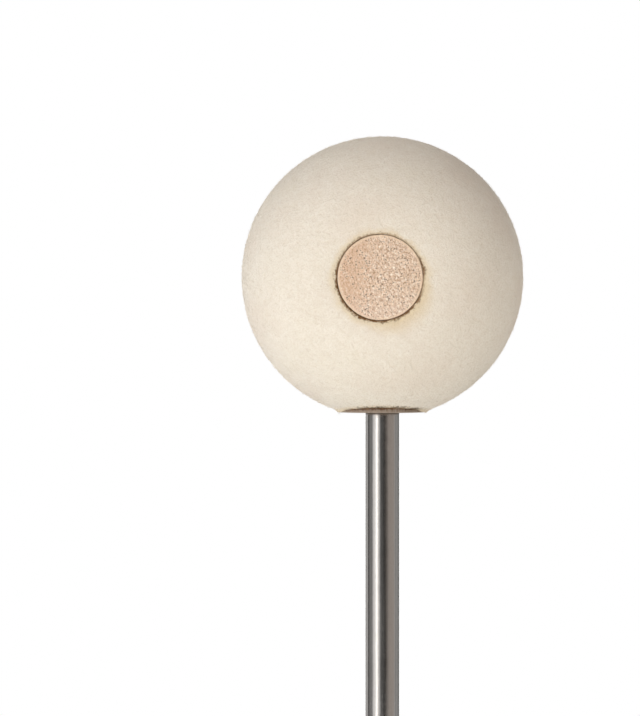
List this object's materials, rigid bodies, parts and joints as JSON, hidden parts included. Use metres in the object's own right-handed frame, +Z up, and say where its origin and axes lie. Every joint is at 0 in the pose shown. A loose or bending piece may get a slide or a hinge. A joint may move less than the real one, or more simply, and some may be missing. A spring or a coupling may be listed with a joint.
{
  "type": "bass drum beater",
  "caption": "Bass drum pedal beater: round turned felt head with a wooden core on a plain round steel shaft.",
  "frame": {"origin": "centre of the flat end face at the shaft's free end", "axes": "+Z up the shaft's axis towards the head, the wooden core's axis along Y with one round wooden face towards -Y, +X to the right when that face is seen from the front"},
  "size_m": [0.066, 0.046, 0.25],
  "materials": {
    "steel": "bright drawn steel rod with fine lengthwise drawing lines",
    "felt": "hard pressed wool felt, turned and lightly fuzzy, cream",
    "maple": "unfinished turned hardwood with open end grain, pinkish tan",
    "brass": "plain machined brass, out of sight"
  },
  "bodies": {
    "root": {"shaft": "steel", "felt_head": "felt", "cross_core": "maple", "neck_plug": "maple", "threaded_insert": "brass"}
  },
  "joints": []
}
